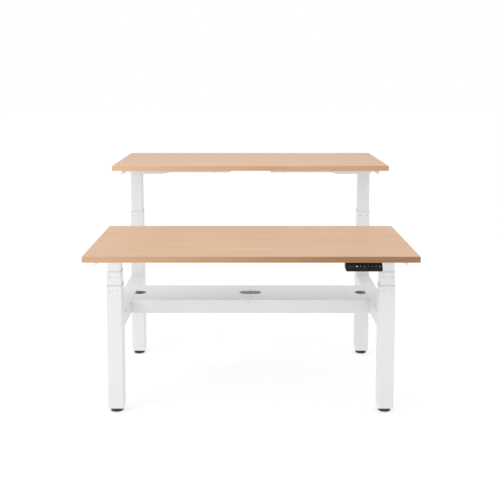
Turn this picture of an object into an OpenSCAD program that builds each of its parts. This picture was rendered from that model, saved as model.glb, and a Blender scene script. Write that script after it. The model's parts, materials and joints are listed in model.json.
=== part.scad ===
// Back-to-back sit-stand bench: two tops on telescopic columns, tied by end beams and a cable trough.
// Frame: origin on the floor at the middle of the bench, +X along the tops, +Z up.
// The front desk's user sits on the -Y side; the back desk is the same desk turned half round.

/* [Desktops] */
// Width of each top, along X
desk_w = 1400; // [1150:10:1900]
// Depth of each top, along Y
desk_d = 700; // [560:10:900]
// Thickness of each top
top_t = 25; // [18:1:40]
// Open gap between the two tops
desk_gap = 100; // [20:5:200]
// Rest height of the front top above its lowest setting
front_lift = 120; // [0:5:600]
// Rest height of the back top above its lowest setting
back_lift = 408; // [0:4:600]

/* [Columns] */
// Distance of the column centres from the ends of the tops
leg_inset = 80; // [60:5:200]
// Width of the outer tube, along X
outer_w = 70; // [60:1:90]
// Depth of the outer tube, along Y
outer_d = 85; // [72:1:110]
// Corner radius of all three tubes
tube_r = 4; // [3:0.5:8]
// Wall of all three tubes
tube_wall = 1.5; // [1:0.25:2]
// Gap between one tube and the next, on each side
tube_gap = 1; // [0.8:0.1:2]
// Length of the outer tube
outer_len = 545; // [500:1:700]
// Length of the middle tube
mid_len = 539; // [460:1:540]
// Length of the inner tube
inner_len = 532; // [440:1:532]
// Height of the middle tube's top over the outer tube's top at the lowest setting
stage_gap = 4; // [3:0.5:10]
// Height of the column head over the middle tube's top at the lowest setting
head_gap = 3; // [2.5:0.5:10]
// Depth of a glide collar inside its tube
glide_h = 60; // [20:5:120]
// Thickness of a glide collar's rim
glide_rim = 0.6; // [0.4:0.1:1.5]
// Diameter of the pins that hold a glide collar in its tube
pin_d = 5; // [3:0.5:6]
// Distance of the pins below the top of the tube
pin_drop = 23; // [8:1:40]
// Distance between the pins of one face
pin_pitch = 37; // [20:1:38]
// Clearance between a glide collar and the tube that slides in it
glide_clear = 0.3; // [0.2:0.05:0.5]

/* [Feet] */
// Height of the foot cap
cap_h = 30; // [16:1:50]
// Height of the foot cap's plug inside the outer tube
plug_h = 7; // [4:0.5:9]
// Diameter of the levelling pad
pad_d = 57; // [40:1:64]
// Height of the pad's disc
pad_h = 11; // [5:0.5:14]
// Height of the pad's neck, up to the foot cap
neck_h = 10; // [4:0.5:12]
// Diameter of the levelling screw
stud_d = 10; // [8:1:12]
// Clearance round the levelling screw
stud_clear = 0.3; // [0.2:0.05:0.5]

/* [Lift drive] */
// Diameter of the fixed lower screw
low_screw_d = 16; // [14:0.5:18]
// Length of the fixed lower screw
low_screw_len = 350; // [320:5:380]
// Outer diameter of the turning nut tube
nut_tube_d = 26; // [24:0.5:30]
// Length of the turning nut tube
nut_tube_len = 388; // [350:2:390]
// Clearance between the turning pieces of the drive
drive_clear = 0.5; // [0.3:0.1:0.8]
// Corner-to-corner size of the hexagonal drive rod
rod_d = 8; // [6:0.5:9]
// Length of the drive rod below the motor
rod_len = 330; // [325:5:340]
// Diameter of the lift motor
motor_d = 50; // [36:1:54]
// Length of the lift motor with its gearbox
motor_len = 128; // [90:1:130]
// Height of the upper nut block
nut_h = 30; // [20:1:40]

/* [Top frame] */
// Depth of the column head below the top
head_h = 52; // [48:1:70]
// Width of the column head, along Y
head_d = 90; // [80:1:120]
// Reach of the column head from the column centre toward the middle
head_reach = 170; // [120:5:220]
// Thickness of the top frame's sheet
sheet_t = 2; // [1.5:0.25:2.5]
// Depth of the crossbar sleeve below the top
sleeve_drop = 45; // [42:1:47]
// Width of the crossbar sleeve, along Y
sleeve_d = 70; // [60:1:80]
// Distance of the sleeves' inner ends from the middle
sleeve_x0 = 110; // [60:5:200]
// Height of the centre rail
rail_h = 31; // [24:1:32]
// Distance of the centre rail's ends from the middle
rail_reach = 400; // [300:10:410]
// Width of the side arm, along X
arm_w = 40; // [30:1:50]
// Distance of the side arm's tips from the front and back edges
arm_inset = 60; // [30:5:100]
// Depth of the side arm's outer side
arm_h = 25; // [22:1:30]
// Depth of the side arm's inner side, from which its underside slopes down
arm_lip = 5; // [5:1:12]
// Distance of the outer clamp screw from the inner end of its sleeve
clamp_x = 80; // [50:5:120]

/* [Cable trough] */
// Width of the end beam, along X
beam_w = 70; // [50:1:90]
// Height of the end beam
beam_h = 65; // [50:1:90]
// Height of the top of the end beams and of the lids above the floor
beam_top = 449; // [300:1:500]
// Width of the trough with its lids, along Y
trough_d = 283; // [200:1:400]
// Depth of the trough below the top of the lids
trough_h = 68; // [50:1:100]
// Sheet thickness of the trough and lids
trough_t = 1.5; // [1:0.25:2]
// Depth of the lid's skirts
skirt_h = 16; // [14:1:24]
// Clearance between a lid and what it lies next to
lid_gap = 0.5; // [0.3:0.1:1]
// Width of a cable port, along Y
port_w = 62; // [30:1:90]
// Depth of each lid's half of a port, along X
port_l = 55; // [46:1:90]
// Distance of the lid screw from the lid's end
lid_screw_x = 10; // [8:1:30]
// Length of a cable slot in the trough's bottom
slot_l = 140; // [60:5:150]
// Width of a cable slot in the trough's bottom
slot_w = 45; // [20:1:60]

/* [Handset] */
// Width of the handset
pad_w = 152; // [148:1:180]
// Height of the handset below the top
hand_h = 37; // [30:1:45]
// Depth of the handset
hand_d = 60; // [54:1:80]
// Lean of the handset's face: how far its top edge lies behind its bottom edge
hand_lean = 28; // [10:1:30]
// Distance of the handset's outer end from the end of the top
hand_inset = 155; // [100:1:300]
// Setback of the handset from the edge of the top
hand_set = 1; // [0:1:20]
// Wall of the handset
hand_wall = 2.5; // [2:0.25:3]
// Width of a push button
key_w = 9; // [7:0.5:11]
// Height of a push button
key_h = 13; // [11:0.5:14]
// Distance from one push button to the next
key_pitch = 16; // [15.5:0.5:17]
// Clearance round a push button
key_clear = 0.4; // [0.3:0.05:0.6]
// Travel of a push button
key_travel = 1; // [0.5:0.1:1.5]
// Width of the display window
window_w = 26; // [18:1:32]
// Height of the display window
window_h = 14; // [10:1:20]

/* [Control box] */
// Width of the control box
box_w = 250; // [180:5:320]
// Depth of the control box
box_d = 100; // [70:5:120]
// Height of the control box
box_h = 34; // [28:1:40]

/* [Screws] */
// Thread diameter of the screws into the tops
wood_d = 5; // [4:0.5:6]
// Reach of the screws into the tops
wood_bite = 14; // [10:1:16]
// Thread diameter of the frame screws
bolt_d = 4; // [4:0.5:5]
// Clearance round a screw
screw_clear = 0.15; // [0.1:0.05:0.3]

/* [Hidden] */
$fn = 48;
// Overshoot of a cut past the face that it opens
over = 1;
// Gap left where two pieces would otherwise just touch
small_gap = 0.2;

// Places in plan
desk_y = (desk_gap + desk_d) / 2;
leg_x = desk_w / 2 - leg_inset;
beam_x0 = leg_x - beam_w / 2;

// Tube sizes, each from the one outside it
step = 2 * (tube_wall + tube_gap);
mid_w = outer_w - step;
mid_d = outer_d - step;
inner_w = mid_w - step;
inner_d = mid_d - step;

// Heights of the column at rest
cap_z = pad_h + neck_h;
stud_sink = 2;
outer_z = cap_z + cap_h;
outer_top = outer_z + outer_len;
mid_plate = 5;
function lift(d) = d == 0 ? front_lift : back_lift;
function mid_top(d) = outer_top + stage_gap + lift(d) / 2;
function mid_z(d) = mid_top(d) - mid_len;
function head_z(d) = outer_top + stage_gap + head_gap + lift(d);
function inner_z(d) = head_z(d) - inner_len;
function under(d) = head_z(d) + head_h;

// Drive
thrust_gap = 0.3;
low_screw_bore = rod_d + 4 * drive_clear;
nut_tube_bore = low_screw_d + 2 * drive_clear;
nut_cap = 5;
nut_clear = 1;
motor_plate = 4;
gear_d = 44;
gear_len = 42;

// Top frame
head_flat = 30;
bolt_hang = 3;
clamp_pitch = 55;
head_chamfer = 14;
arm_x0 = leg_x + 1;
arm_half = desk_d / 2 - arm_inset;
arm_screws = [0.32, 0.82];
arm_flat = 4;
head_x0 = leg_x - head_reach;
sleeve_lap = 110;
sleeve_x1 = head_x0 + sleeve_lap;
sleeve_gap = 3;
rail_gap = 0.5;
rail_top = sleeve_gap + sheet_t + rail_gap;
rail_d = sleeve_d - 2 * sheet_t - 4 * rail_gap;

// Screws
wood_head_d = 9;
wood_head_h = 2.5;
access_d = 13;
bolt_head_d = 7;
bolt_head_h = 2.2;

// Handset, in the desk's own frame, whose -Y side is its user's
hand_x1 = desk_w / 2 - hand_inset;
hand_x0 = hand_x1 - pad_w;
hand_y0 = -desk_d / 2 + hand_set;
hand_lip = 4;
hand_belly = 28;
hand_back_h = 20;
face_drop = hand_h - hand_lip;
face_tilt = atan(hand_lean / face_drop);
face_row = 24;
cavity_len = 12;
cavity_top = 6;
cavity_end = 32;
hand_screw_in = 20;
hand_screw_back = 8;
key_count = 6;
key_end = 11;
key_r = 4;
key_proud = key_travel / 2;
key_len = 8;
key_flange = 1.2;
key_step = 1.2;
window_in = 8;
window_x = hand_x0 + window_in + window_w / 2;
window_t = 1.2;

// Control box, on the user's side of the crossbar
box_y = -110;
box_wall = 2;
ear_w = 12;
ear_t = 3;

// Trough
wall_y = trough_d / 2 - trough_t - lid_gap;
trough_z = beam_top - trough_h;
lid_z = beam_top - trough_t;
lid_screw_z = beam_top - 11;
end_screw_y = 90;
end_screw_z = beam_top - 40;
end_screw_len = 12;
slot_r = 10;
slot_y = 60;
slot_count = 6;
slot_pitch = (2 * beam_x0 - slot_l / 2) / slot_count;
lid_screw_len = 9;

// ---- Helpers ----

// Rectangle with round corners, centred
module round_rect(w, d, r) {
    square([w - 2 * r, d], center = true);
    square([w, d - 2 * r], center = true);
    for (x = [-1, 1], y = [-1, 1])
        translate([x * (w / 2 - r), y * (d / 2 - r)]) circle(r);
}

// Ring between two round rectangles, standing on z = 0
module ring(w, d, r, in_w, in_d, in_r, h) {
    difference() {
        linear_extrude(h) round_rect(w, d, r);
        translate([0, 0, -over]) linear_extrude(h + 2 * over) round_rect(in_w, in_d, in_r);
    }
}

module tube(w, d, h) {
    ring(w, d, tube_r, w - 2 * tube_wall, d - 2 * tube_wall, tube_r - tube_wall, h);
}

// Puts a piece in the frame of desk d: 0 is the front desk, 1 the back one turned half round
module at_desk(d) {
    rotate([0, 0, 180 * d]) translate([0, -desk_y, 0]) children();
}

// Puts a piece on the column of desk d on side s of the bench, -1 left or 1 right
module at_column(d, s) {
    at_desk(d) translate([(d == 0 ? s : -s) * leg_x, 0, 0]) children();
}

// Draws a piece and its mirror image across the desk's middle
module both_sides() {
    children();
    mirror([1, 0, 0]) children();
}

// Pins through the front and back walls of a tube of depth d, below its top at z = 0
module pins(d, pin, len) {
    for (x = [-1, 1], y = [-1, 1]) translate([x * pin_pitch / 2, y * d / 2, -pin_drop])
        point_y(-y) cylinder(h = len, d = pin);
}

// Tube of the given size on z = 0, with holes for its glide's pins
module pinned_tube(w, d, h) {
    difference() {
        tube(w, d, h);
        translate([0, 0, h]) pins(d + 2 * over, pin_d, tube_wall + 2 * over);
    }
}

// Glide collar for a tube of the given outer size, with its rim standing on z = 0
module glide(w, d) {
    slide_w = w - step + 2 * glide_clear;
    slide_d = d - step + 2 * glide_clear;
    slide_r = tube_r + glide_clear;
    translate([0, 0, -glide_h])
        ring(w - 2 * tube_wall, d - 2 * tube_wall, tube_r - tube_wall,
            slide_w, slide_d, slide_r, glide_h);
    ring(w, d, tube_r, slide_w, slide_d, slide_r, glide_rim);
    pins(d - 2 * small_gap, pin_d - 2 * screw_clear, tube_wall);
}

// Screw pointing up, with the underside of its head on z = 0
module screw(d, len, head_d, head_h) {
    cylinder(h = len, d = d);
    translate([0, 0, -head_h]) cylinder(h = head_h, d1 = head_d * 0.8, d2 = head_d);
}

// Turns a screw from pointing up to pointing along the given side of X or Y
module point_x(s) { rotate([0, 90 * s, 0]) children(); }
module point_y(s) { rotate([-90 * s, 0, 0]) children(); }

// ---- Columns ----

module outer_tube(d, s) {
    color("whitesmoke") at_column(d, s) translate([0, 0, outer_z])
        pinned_tube(outer_w, outer_d, outer_len);
}

module foot_caps() {
    plug_w = outer_w - 2 * tube_wall;
    plug_d = outer_d - 2 * tube_wall;
    color("white") for (d = [0, 1], s = [-1, 1]) at_column(d, s) translate([0, 0, cap_z])
        difference() {
            union() {
                linear_extrude(cap_h) round_rect(outer_w, outer_d, tube_r);
                linear_extrude(cap_h + plug_h) round_rect(plug_w, plug_d, tube_r - tube_wall);
            }
            translate([0, 0, -over])
                cylinder(h = cap_h + plug_h + 2 * over, d = stud_d + 2 * stud_clear);
        }
}

module outer_glides() {
    color("dimgray") for (d = [0, 1], s = [-1, 1]) at_column(d, s) translate([0, 0, outer_top])
        glide(outer_w, outer_d);
}

module foot(d, s) {
    edge = 2;
    color("dimgray") at_column(d, s) {
        cylinder(h = pad_h - edge, d = pad_d);
        translate([0, 0, pad_h - edge]) cylinder(h = edge, d1 = pad_d, d2 = pad_d - 2 * edge);
        cylinder(h = cap_z - stud_clear, d = 2 * stud_d);
        cylinder(h = outer_z + plug_h - stud_sink, d = stud_d);
    }
}

module middle_tubes(d) {
    hole_d = low_screw_d + 4 * nut_clear;
    color("whitesmoke") for (s = [-1, 1]) at_column(d, s) translate([0, 0, mid_z(d)]) {
        pinned_tube(mid_w, mid_d, mid_len);
        difference() {
            linear_extrude(mid_plate) round_rect(mid_w, mid_d, tube_r);
            translate([0, 0, -over]) cylinder(h = mid_plate + 2 * over, d = hole_d);
        }
    }
}

module middle_glides(d) {
    color("dimgray") for (s = [-1, 1]) at_column(d, s) translate([0, 0, mid_top(d)])
        glide(mid_w, mid_d);
}

module inner_tubes(d) {
    color("whitesmoke") for (s = [-1, 1]) at_column(d, s) translate([0, 0, inner_z(d)])
        tube(inner_w, inner_d, inner_len);
}

// ---- Lift drive, inside the columns ----

module lower_screws() {
    color("silver") for (d = [0, 1], s = [-1, 1]) at_column(d, s) translate([0, 0, outer_z + plug_h])
        difference() {
            cylinder(h = low_screw_len, d = low_screw_d);
            translate([0, 0, -over]) cylinder(h = low_screw_len + 2 * over, d = low_screw_bore);
        }
}

module nut_tube(d, s) {
    color("goldenrod") at_column(d, s) translate([0, 0, mid_z(d) + mid_plate + thrust_gap])
        difference() {
            cylinder(h = nut_tube_len, d = nut_tube_d);
            translate([0, 0, -over]) cylinder(h = nut_tube_len - nut_cap + over, d = nut_tube_bore);
            cylinder(h = nut_tube_len + over, d = rod_d + 2 * drive_clear);
        }
}

module motors(d) {
    color("dimgray") for (s = [-1, 1]) at_column(d, s) translate([0, 0, head_z(d)]) {
        translate([0, 0, -motor_plate]) linear_extrude(motor_plate)
            round_rect(inner_w - 2 * tube_wall, inner_d - 2 * tube_wall, tube_r - tube_wall);
        translate([0, 0, gear_len - motor_len]) cylinder(h = motor_len - gear_len, d = motor_d);
        translate([0, 0, -motor_len]) cylinder(h = gear_len + over, d = gear_d);
        translate([0, 0, -motor_len - rod_len]) cylinder(h = rod_len + over, d = rod_d, $fn = 6);
    }
}

module lift_nuts(d) {
    color("goldenrod") for (s = [-1, 1]) at_column(d, s) translate([0, 0, inner_z(d)])
        difference() {
            linear_extrude(nut_h)
                round_rect(inner_w - 2 * tube_wall, inner_d - 2 * tube_wall, tube_r - tube_wall);
            translate([0, 0, -over])
                cylinder(h = nut_h + 2 * over, d = nut_tube_d + 2 * drive_clear);
        }
}

// ---- Frame under the tops ----

// Places of the screws into a top, as [x, y] in the desk's own frame
function arm_screw_places() = [
    for (x = [-1, 1], y = [-1, 1], share = arm_screws) [x * (arm_x0 + arm_w / 2), y * share * arm_half]
];
function hand_screw_places() = [
    for (x = [hand_x0 + hand_screw_in, hand_x1 - hand_screw_in])
        [x, hand_y0 + hand_d - hand_screw_back]
];
function box_screw_places() = [for (x = [-1, 1]) [x * (box_w / 2 + ear_w / 2), box_y]];

module desktop(d) {
    pilot_d = wood_d + 2 * screw_clear;
    color("burlywood") at_desk(d) translate([0, 0, under(d)]) difference() {
        translate([-desk_w / 2, -desk_d / 2, 0]) cube([desk_w, desk_d, top_t]);
        for (p = concat(arm_screw_places(), hand_screw_places(), box_screw_places()))
            translate([p[0], p[1], -over]) cylinder(h = wood_bite + over, d = pilot_d);
    }
}

// Side view of a column head, shrunk by an even wall: notched for the side arm at its outer end
module head_outline(wall) {
    x1 = arm_x0 + arm_w - wall;
    polygon([
        [head_x0 - (wall > 0 ? over : 0), wall > 0 ? over : 0],
        [arm_x0 - wall, wall > 0 ? over : 0], [arm_x0 - wall, -arm_lip - wall],
        [x1 - arm_flat, -arm_h - wall], [x1, -arm_h - wall],
        [x1, wall / 2 + head_chamfer - head_h], [x1 - head_chamfer + wall / 2, wall - head_h],
        [head_x0 + head_flat, wall - head_h],
        [head_x0 - (wall > 0 ? over : 0), wall - sleeve_drop - sheet_t]
    ]);
}

module column_heads(d) {
    color("whitesmoke") at_desk(d) translate([0, 0, under(d)]) both_sides() difference() {
        translate([0, head_d / 2, 0]) rotate([90, 0, 0]) linear_extrude(head_d) head_outline(0);
        translate([0, head_d / 2 - sheet_t, 0]) rotate([90, 0, 0])
            linear_extrude(head_d - 2 * sheet_t) head_outline(sheet_t);
    }
}

// End view of a side arm, shrunk by an even wall
module arm_outline(wall) {
    x1 = arm_x0 + arm_w;
    slope = (arm_h - arm_lip) / (arm_w - arm_flat);
    rise = wall * sqrt(1 + slope * slope);
    polygon([
        [arm_x0 + wall, -wall], [x1 - wall, -wall], [x1 - wall, wall - arm_h],
        [arm_x0 + (arm_h - wall - arm_lip + rise) / slope, wall - arm_h],
        [arm_x0 + wall, rise - arm_lip - slope * wall]
    ]);
}

module side_arms(d) {
    color("whitesmoke") at_desk(d) translate([0, 0, under(d)]) difference() {
        both_sides() difference() {
            translate([0, arm_half, 0]) rotate([90, 0, 0]) linear_extrude(2 * arm_half)
                arm_outline(0);
            translate([0, arm_half - sheet_t, 0]) rotate([90, 0, 0])
                linear_extrude(2 * (arm_half - sheet_t)) arm_outline(sheet_t);
        }
        for (p = arm_screw_places()) translate([p[0], p[1], 0]) {
            translate([0, 0, -sheet_t - over])
                cylinder(h = sheet_t + 2 * over, d = wood_d + 2 * screw_clear);
            translate([0, 0, -arm_h - over])
                cylinder(h = arm_h + over - sheet_t - small_gap, d = access_d);
        }
    }
}

module crossbar_sleeves(d) {
    h = sleeve_drop - sleeve_gap;
    color("white") at_desk(d) translate([0, 0, under(d) - sleeve_drop]) both_sides()
        difference() {
            translate([sleeve_x0, -sleeve_d / 2, 0]) cube([sleeve_x1 - sleeve_x0, sleeve_d, h]);
            translate([sleeve_x0 - over, sheet_t - sleeve_d / 2, sheet_t])
                cube([sleeve_x1 - sleeve_x0 + 2 * over, sleeve_d - 2 * sheet_t, h - 2 * sheet_t]);
            for (x = [clamp_x, clamp_x - clamp_pitch]) translate([sleeve_x0 + x, 0, -over])
                cylinder(h = sheet_t + 2 * over, d = bolt_d + 2 * screw_clear);
        }
}

module crossbar_rail(d) {
    color("white") at_desk(d) translate([0, 0, under(d) - rail_top - rail_h]) difference() {
        translate([-rail_reach, -rail_d / 2, 0]) cube([2 * rail_reach, rail_d, rail_h]);
        translate([-rail_reach - over, sheet_t - rail_d / 2, sheet_t])
            cube([2 * (rail_reach + over), rail_d - 2 * sheet_t, rail_h - 2 * sheet_t]);
    }
}

module desk_screws(d) {
    arm_head_z = -sheet_t;
    clamp_len = sleeve_drop - rail_top - rail_h - small_gap;
    color("silver") at_desk(d) translate([0, 0, under(d)]) {
        for (p = arm_screw_places()) translate([p[0], p[1], arm_head_z])
            screw(wood_d, wood_bite + sheet_t - 1, wood_head_d, wood_head_h);
        for (p = hand_screw_places()) translate([p[0], p[1], -hand_wall])
            screw(wood_d, wood_bite + hand_wall - 1, wood_head_d, wood_head_h);
        for (p = box_screw_places()) translate([p[0], p[1], -ear_t])
            screw(wood_d, wood_bite + ear_t - 1, wood_head_d, wood_head_h);
        both_sides() for (x = [clamp_x, clamp_x - clamp_pitch])
            translate([sleeve_x0 + x, 0, -sleeve_drop])
                screw(bolt_d, clamp_len, 2 * bolt_head_d, bolt_head_h + bolt_hang);
    }
}

// ---- Handset and control box ----

// Centre of push button k along X
function key_x(k) = hand_x1 - key_end - (key_count - 1 - k) * key_pitch;

// Puts a piece on the handset's leaning face: x across, y down the face, z into the housing
module on_face(x, y) {
    translate([x, hand_y0 + hand_lean, 0]) rotate([-90 - face_tilt, 0, 0])
        translate([0, y, 0]) children();
}

module handset(d) {
    color("darkslategray") at_desk(d) translate([0, 0, under(d)]) difference() {
        translate([hand_x0, 0, 0]) rotate([90, 0, 90]) linear_extrude(pad_w) polygon([
            [hand_y0 + hand_lean, 0], [hand_y0, -face_drop], [hand_y0, -hand_h],
            [hand_y0 + hand_belly, -hand_h], [hand_y0 + hand_d, -hand_back_h], [hand_y0 + hand_d, 0]
        ]);
        on_face((hand_x0 + hand_x1) / 2, cavity_top) translate([hand_wall - pad_w / 2, 0, hand_wall])
            cube([pad_w - 2 * hand_wall, cavity_end - cavity_top, cavity_len]);
        for (k = [0 : key_count - 1]) on_face(key_x(k), face_row) translate([0, 0, -over])
            linear_extrude(hand_wall + 2 * over)
                round_rect(key_w + 2 * key_clear, key_h + 2 * key_clear, key_r + key_clear);
        on_face(window_x, face_row) translate([-window_w / 2, -window_h / 2, -over])
            cube([window_w, window_h, window_t + over]);
        for (p = hand_screw_places()) translate([p[0], p[1], 0]) {
            translate([0, 0, -hand_wall - over])
                cylinder(h = hand_wall + 2 * over, d = wood_d + 2 * screw_clear);
            translate([0, 0, -hand_h - over])
                cylinder(h = hand_h - hand_wall + over, d = access_d);
        }
    }
}

module display(d) {
    color("black") at_desk(d) translate([0, 0, under(d)]) on_face(window_x, face_row)
        translate([-window_w / 2, -window_h / 2, 0]) cube([window_w, window_h, window_t]);
}

// Push button k of desk d, counted from the left as its user sees it
module push_button(d, k) {
    color("black") at_desk(d) translate([0, 0, under(d)]) on_face(key_x(k), face_row) {
        translate([0, 0, -key_proud]) linear_extrude(key_len) round_rect(key_w, key_h, key_r);
        translate([0, 0, hand_wall + small_gap]) linear_extrude(key_flange)
            round_rect(key_w + 2 * key_step, key_h + 2 * key_step, key_r + key_step);
    }
}

module control_box(d) {
    color("gray") at_desk(d) translate([0, box_y, under(d)]) difference() {
        union() {
            translate([-box_w / 2, -box_d / 2, -box_h]) cube([box_w, box_d, box_h]);
            for (x = [-1, 1]) translate([x * (box_w / 2 + ear_w / 2) - ear_w / 2, -box_d / 4, -ear_t])
                cube([ear_w, box_d / 2, ear_t]);
        }
        translate([box_wall - box_w / 2, box_wall - box_d / 2, box_wall - box_h])
            cube([box_w - 2 * box_wall, box_d - 2 * box_wall, box_h - 2 * box_wall]);
        for (x = [-1, 1]) translate([x * (box_w / 2 + ear_w / 2), 0, -ear_t - over])
            cylinder(h = ear_t + 2 * over, d = wood_d + 2 * screw_clear);
    }
}

// ---- Base: end beams, trough and lids ----

module end_beams() {
    half = desk_y - outer_d / 2;
    wall = sheet_t;
    color("whitesmoke") both_sides() difference() {
        translate([beam_x0, -half, beam_top - beam_h]) cube([beam_w, 2 * half, beam_h]);
        translate([beam_x0 + wall, -half - over, beam_top - beam_h + wall])
            cube([beam_w - 2 * wall, 2 * (half + over), beam_h - 2 * wall]);
        for (y = [-1, 1]) translate([beam_x0 - over, y * end_screw_y, end_screw_z]) point_x(1)
            cylinder(h = wall + 2 * over, d = bolt_d + 2 * screw_clear);
    }
}

// Places of the lid screws, as [x, side of Y]; the back ones are the front ones turned half round
function lid_screw_places() = [
    [-lid_gap - lid_screw_x, -1], [beam_x0 - lid_gap - lid_screw_x, -1],
    [lid_gap + lid_screw_x, 1], [-beam_x0 + lid_gap + lid_screw_x, 1]
];

module cable_trough() {
    hole_d = bolt_d + 2 * screw_clear;
    color("whitesmoke") difference() {
        translate([-beam_x0, -wall_y, trough_z]) cube([2 * beam_x0, 2 * wall_y, trough_h - trough_t]);
        translate([trough_t - beam_x0, trough_t - wall_y, trough_z + trough_t])
            cube([2 * (beam_x0 - trough_t), 2 * (wall_y - trough_t), trough_h]);
        for (x = [-1, 1], y = [-1, 1])
            translate([x * (beam_x0 + over), y * end_screw_y, end_screw_z]) point_x(-x)
                cylinder(h = trough_t + 2 * over, d = hole_d);
        for (p = lid_screw_places()) translate([p[0], p[1] * (wall_y + over), lid_screw_z])
            point_y(-p[1]) cylinder(h = trough_t + 2 * over, d = hole_d);
        for (k = [0 : slot_count - 1], y = [-1, 1])
            translate([(k - (slot_count - 1) / 2) * slot_pitch, y * slot_y, trough_z - over])
                linear_extrude(trough_t + 2 * over) round_rect(slot_l, slot_w, slot_r);
    }
}

module frame_screws() {
    color("silver") {
        for (x = [-1, 1], y = [-1, 1])
            translate([x * (beam_x0 - trough_t), y * end_screw_y, end_screw_z]) point_x(x)
                screw(bolt_d, end_screw_len, 2 * bolt_head_d, bolt_head_h);
        for (p = lid_screw_places()) translate([p[0], p[1] * (trough_d / 2 + small_gap), lid_screw_z])
            point_y(-p[1]) screw(bolt_d, lid_screw_len, bolt_head_d, bolt_head_h);
    }
}

// One end's half of a cable port, open toward +X
module half_port() {
    translate([-port_l + port_w / 2, 0]) circle(d = port_w);
    translate([-port_l + port_w / 2, -port_w / 2]) square([port_l - port_w / 2 + over, port_w]);
}

// Lid on side s of the bench; its skirts have slots that drop over the lid screws
module lid(s) {
    x0 = s < 0 ? lid_gap - beam_x0 : lid_gap;
    length = beam_x0 - 2 * lid_gap;
    notch_w = bolt_d + 4 * screw_clear;
    color("white") difference() {
        union() {
            translate([x0, -trough_d / 2, lid_z]) cube([length, trough_d, trough_t]);
            for (y = [-trough_d / 2, trough_d / 2 - trough_t])
                translate([x0, y, beam_top - skirt_h]) cube([length, trough_t, skirt_h]);
        }
        translate([x0 + length, 0, lid_z - over]) linear_extrude(trough_t + 2 * over) half_port();
        translate([x0, 0, lid_z - over]) mirror([1, 0, 0]) linear_extrude(trough_t + 2 * over)
            half_port();
        for (p = lid_screw_places()) {
            wall = p[1] * (trough_d / 2 - trough_t / 2);
            translate([p[0], wall + trough_t, lid_screw_z]) point_y(-1)
                cylinder(h = 2 * trough_t, d = notch_w);
            translate([p[0] - notch_w / 2, wall - trough_t, beam_top - skirt_h - over])
                cube([notch_w, 2 * trough_t, lid_screw_z - beam_top + skirt_h + over]);
        }
    }
}

outer_tube(0, -1);  // front_left_outer_tube
outer_tube(0, 1);  // front_right_outer_tube
outer_tube(1, -1);  // back_left_outer_tube
outer_tube(1, 1);  // back_right_outer_tube
foot_caps();
outer_glides();
end_beams();
cable_trough();
lower_screws();
frame_screws();
lid(-1);  // left_lid
lid(1);  // right_lid
foot(0, -1);  // front_left_foot
foot(0, 1);  // front_right_foot
foot(1, -1);  // back_left_foot
foot(1, 1);  // back_right_foot
middle_tubes(0);  // front_middle_tubes
middle_glides(0);  // front_middle_glides
middle_tubes(1);  // back_middle_tubes
middle_glides(1);  // back_middle_glides
nut_tube(0, -1);  // front_left_nut_tube
nut_tube(0, 1);  // front_right_nut_tube
nut_tube(1, -1);  // back_left_nut_tube
nut_tube(1, 1);  // back_right_nut_tube
desktop(0);  // front_desktop
inner_tubes(0);  // front_inner_tubes
column_heads(0);  // front_column_heads
side_arms(0);  // front_side_arms
crossbar_sleeves(0);  // front_crossbar_sleeves
crossbar_rail(0);  // front_crossbar_rail
motors(0);  // front_motors
lift_nuts(0);  // front_lift_nuts
control_box(0);  // front_control_box
handset(0);  // front_handset
display(0);  // front_display
desk_screws(0);  // front_screws
desktop(1);  // back_desktop
inner_tubes(1);  // back_inner_tubes
column_heads(1);  // back_column_heads
side_arms(1);  // back_side_arms
crossbar_sleeves(1);  // back_crossbar_sleeves
crossbar_rail(1);  // back_crossbar_rail
motors(1);  // back_motors
lift_nuts(1);  // back_lift_nuts
control_box(1);  // back_control_box
handset(1);  // back_handset
display(1);  // back_display
desk_screws(1);  // back_screws
push_button(0, 0);  // front_down_button
push_button(0, 1);  // front_up_button
push_button(0, 2);  // front_memory_1_button
push_button(0, 3);  // front_memory_2_button
push_button(0, 4);  // front_memory_3_button
push_button(0, 5);  // front_store_button
push_button(1, 0);  // back_down_button
push_button(1, 1);  // back_up_button
push_button(1, 2);  // back_memory_1_button
push_button(1, 3);  // back_memory_2_button
push_button(1, 4);  // back_memory_3_button
push_button(1, 5);  // back_store_button
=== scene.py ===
import json
import math

import bmesh
import bpy
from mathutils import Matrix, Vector


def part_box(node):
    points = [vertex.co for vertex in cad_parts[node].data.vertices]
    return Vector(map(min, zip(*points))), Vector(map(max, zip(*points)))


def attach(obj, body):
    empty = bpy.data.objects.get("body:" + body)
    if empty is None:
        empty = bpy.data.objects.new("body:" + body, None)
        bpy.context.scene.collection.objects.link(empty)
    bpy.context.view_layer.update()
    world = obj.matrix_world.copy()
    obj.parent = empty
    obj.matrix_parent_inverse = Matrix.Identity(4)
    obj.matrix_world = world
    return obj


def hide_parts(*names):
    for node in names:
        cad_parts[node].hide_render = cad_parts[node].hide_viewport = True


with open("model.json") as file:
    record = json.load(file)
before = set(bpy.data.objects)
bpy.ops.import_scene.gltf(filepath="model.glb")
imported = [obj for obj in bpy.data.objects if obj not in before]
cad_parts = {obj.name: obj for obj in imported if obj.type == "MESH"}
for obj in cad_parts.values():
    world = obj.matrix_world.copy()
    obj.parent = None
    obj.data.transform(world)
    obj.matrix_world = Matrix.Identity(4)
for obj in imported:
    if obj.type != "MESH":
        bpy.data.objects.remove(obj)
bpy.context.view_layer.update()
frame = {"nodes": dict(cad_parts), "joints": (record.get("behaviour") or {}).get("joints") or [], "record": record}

MM = 0.001
X, Y, Z = 0, 1, 2
BUTTONS = ("down", "up", "memory_1", "memory_2", "memory_3", "store")


# ---- Camera ----

SENSOR = 36.0
LENS = 59.41
CAMERA_PLACE = (-0.0166, -4.0939, 1.5491)
CAMERA_PITCH = 6.0
CAMERA_SHIFT = (0.0057, -0.178)

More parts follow.
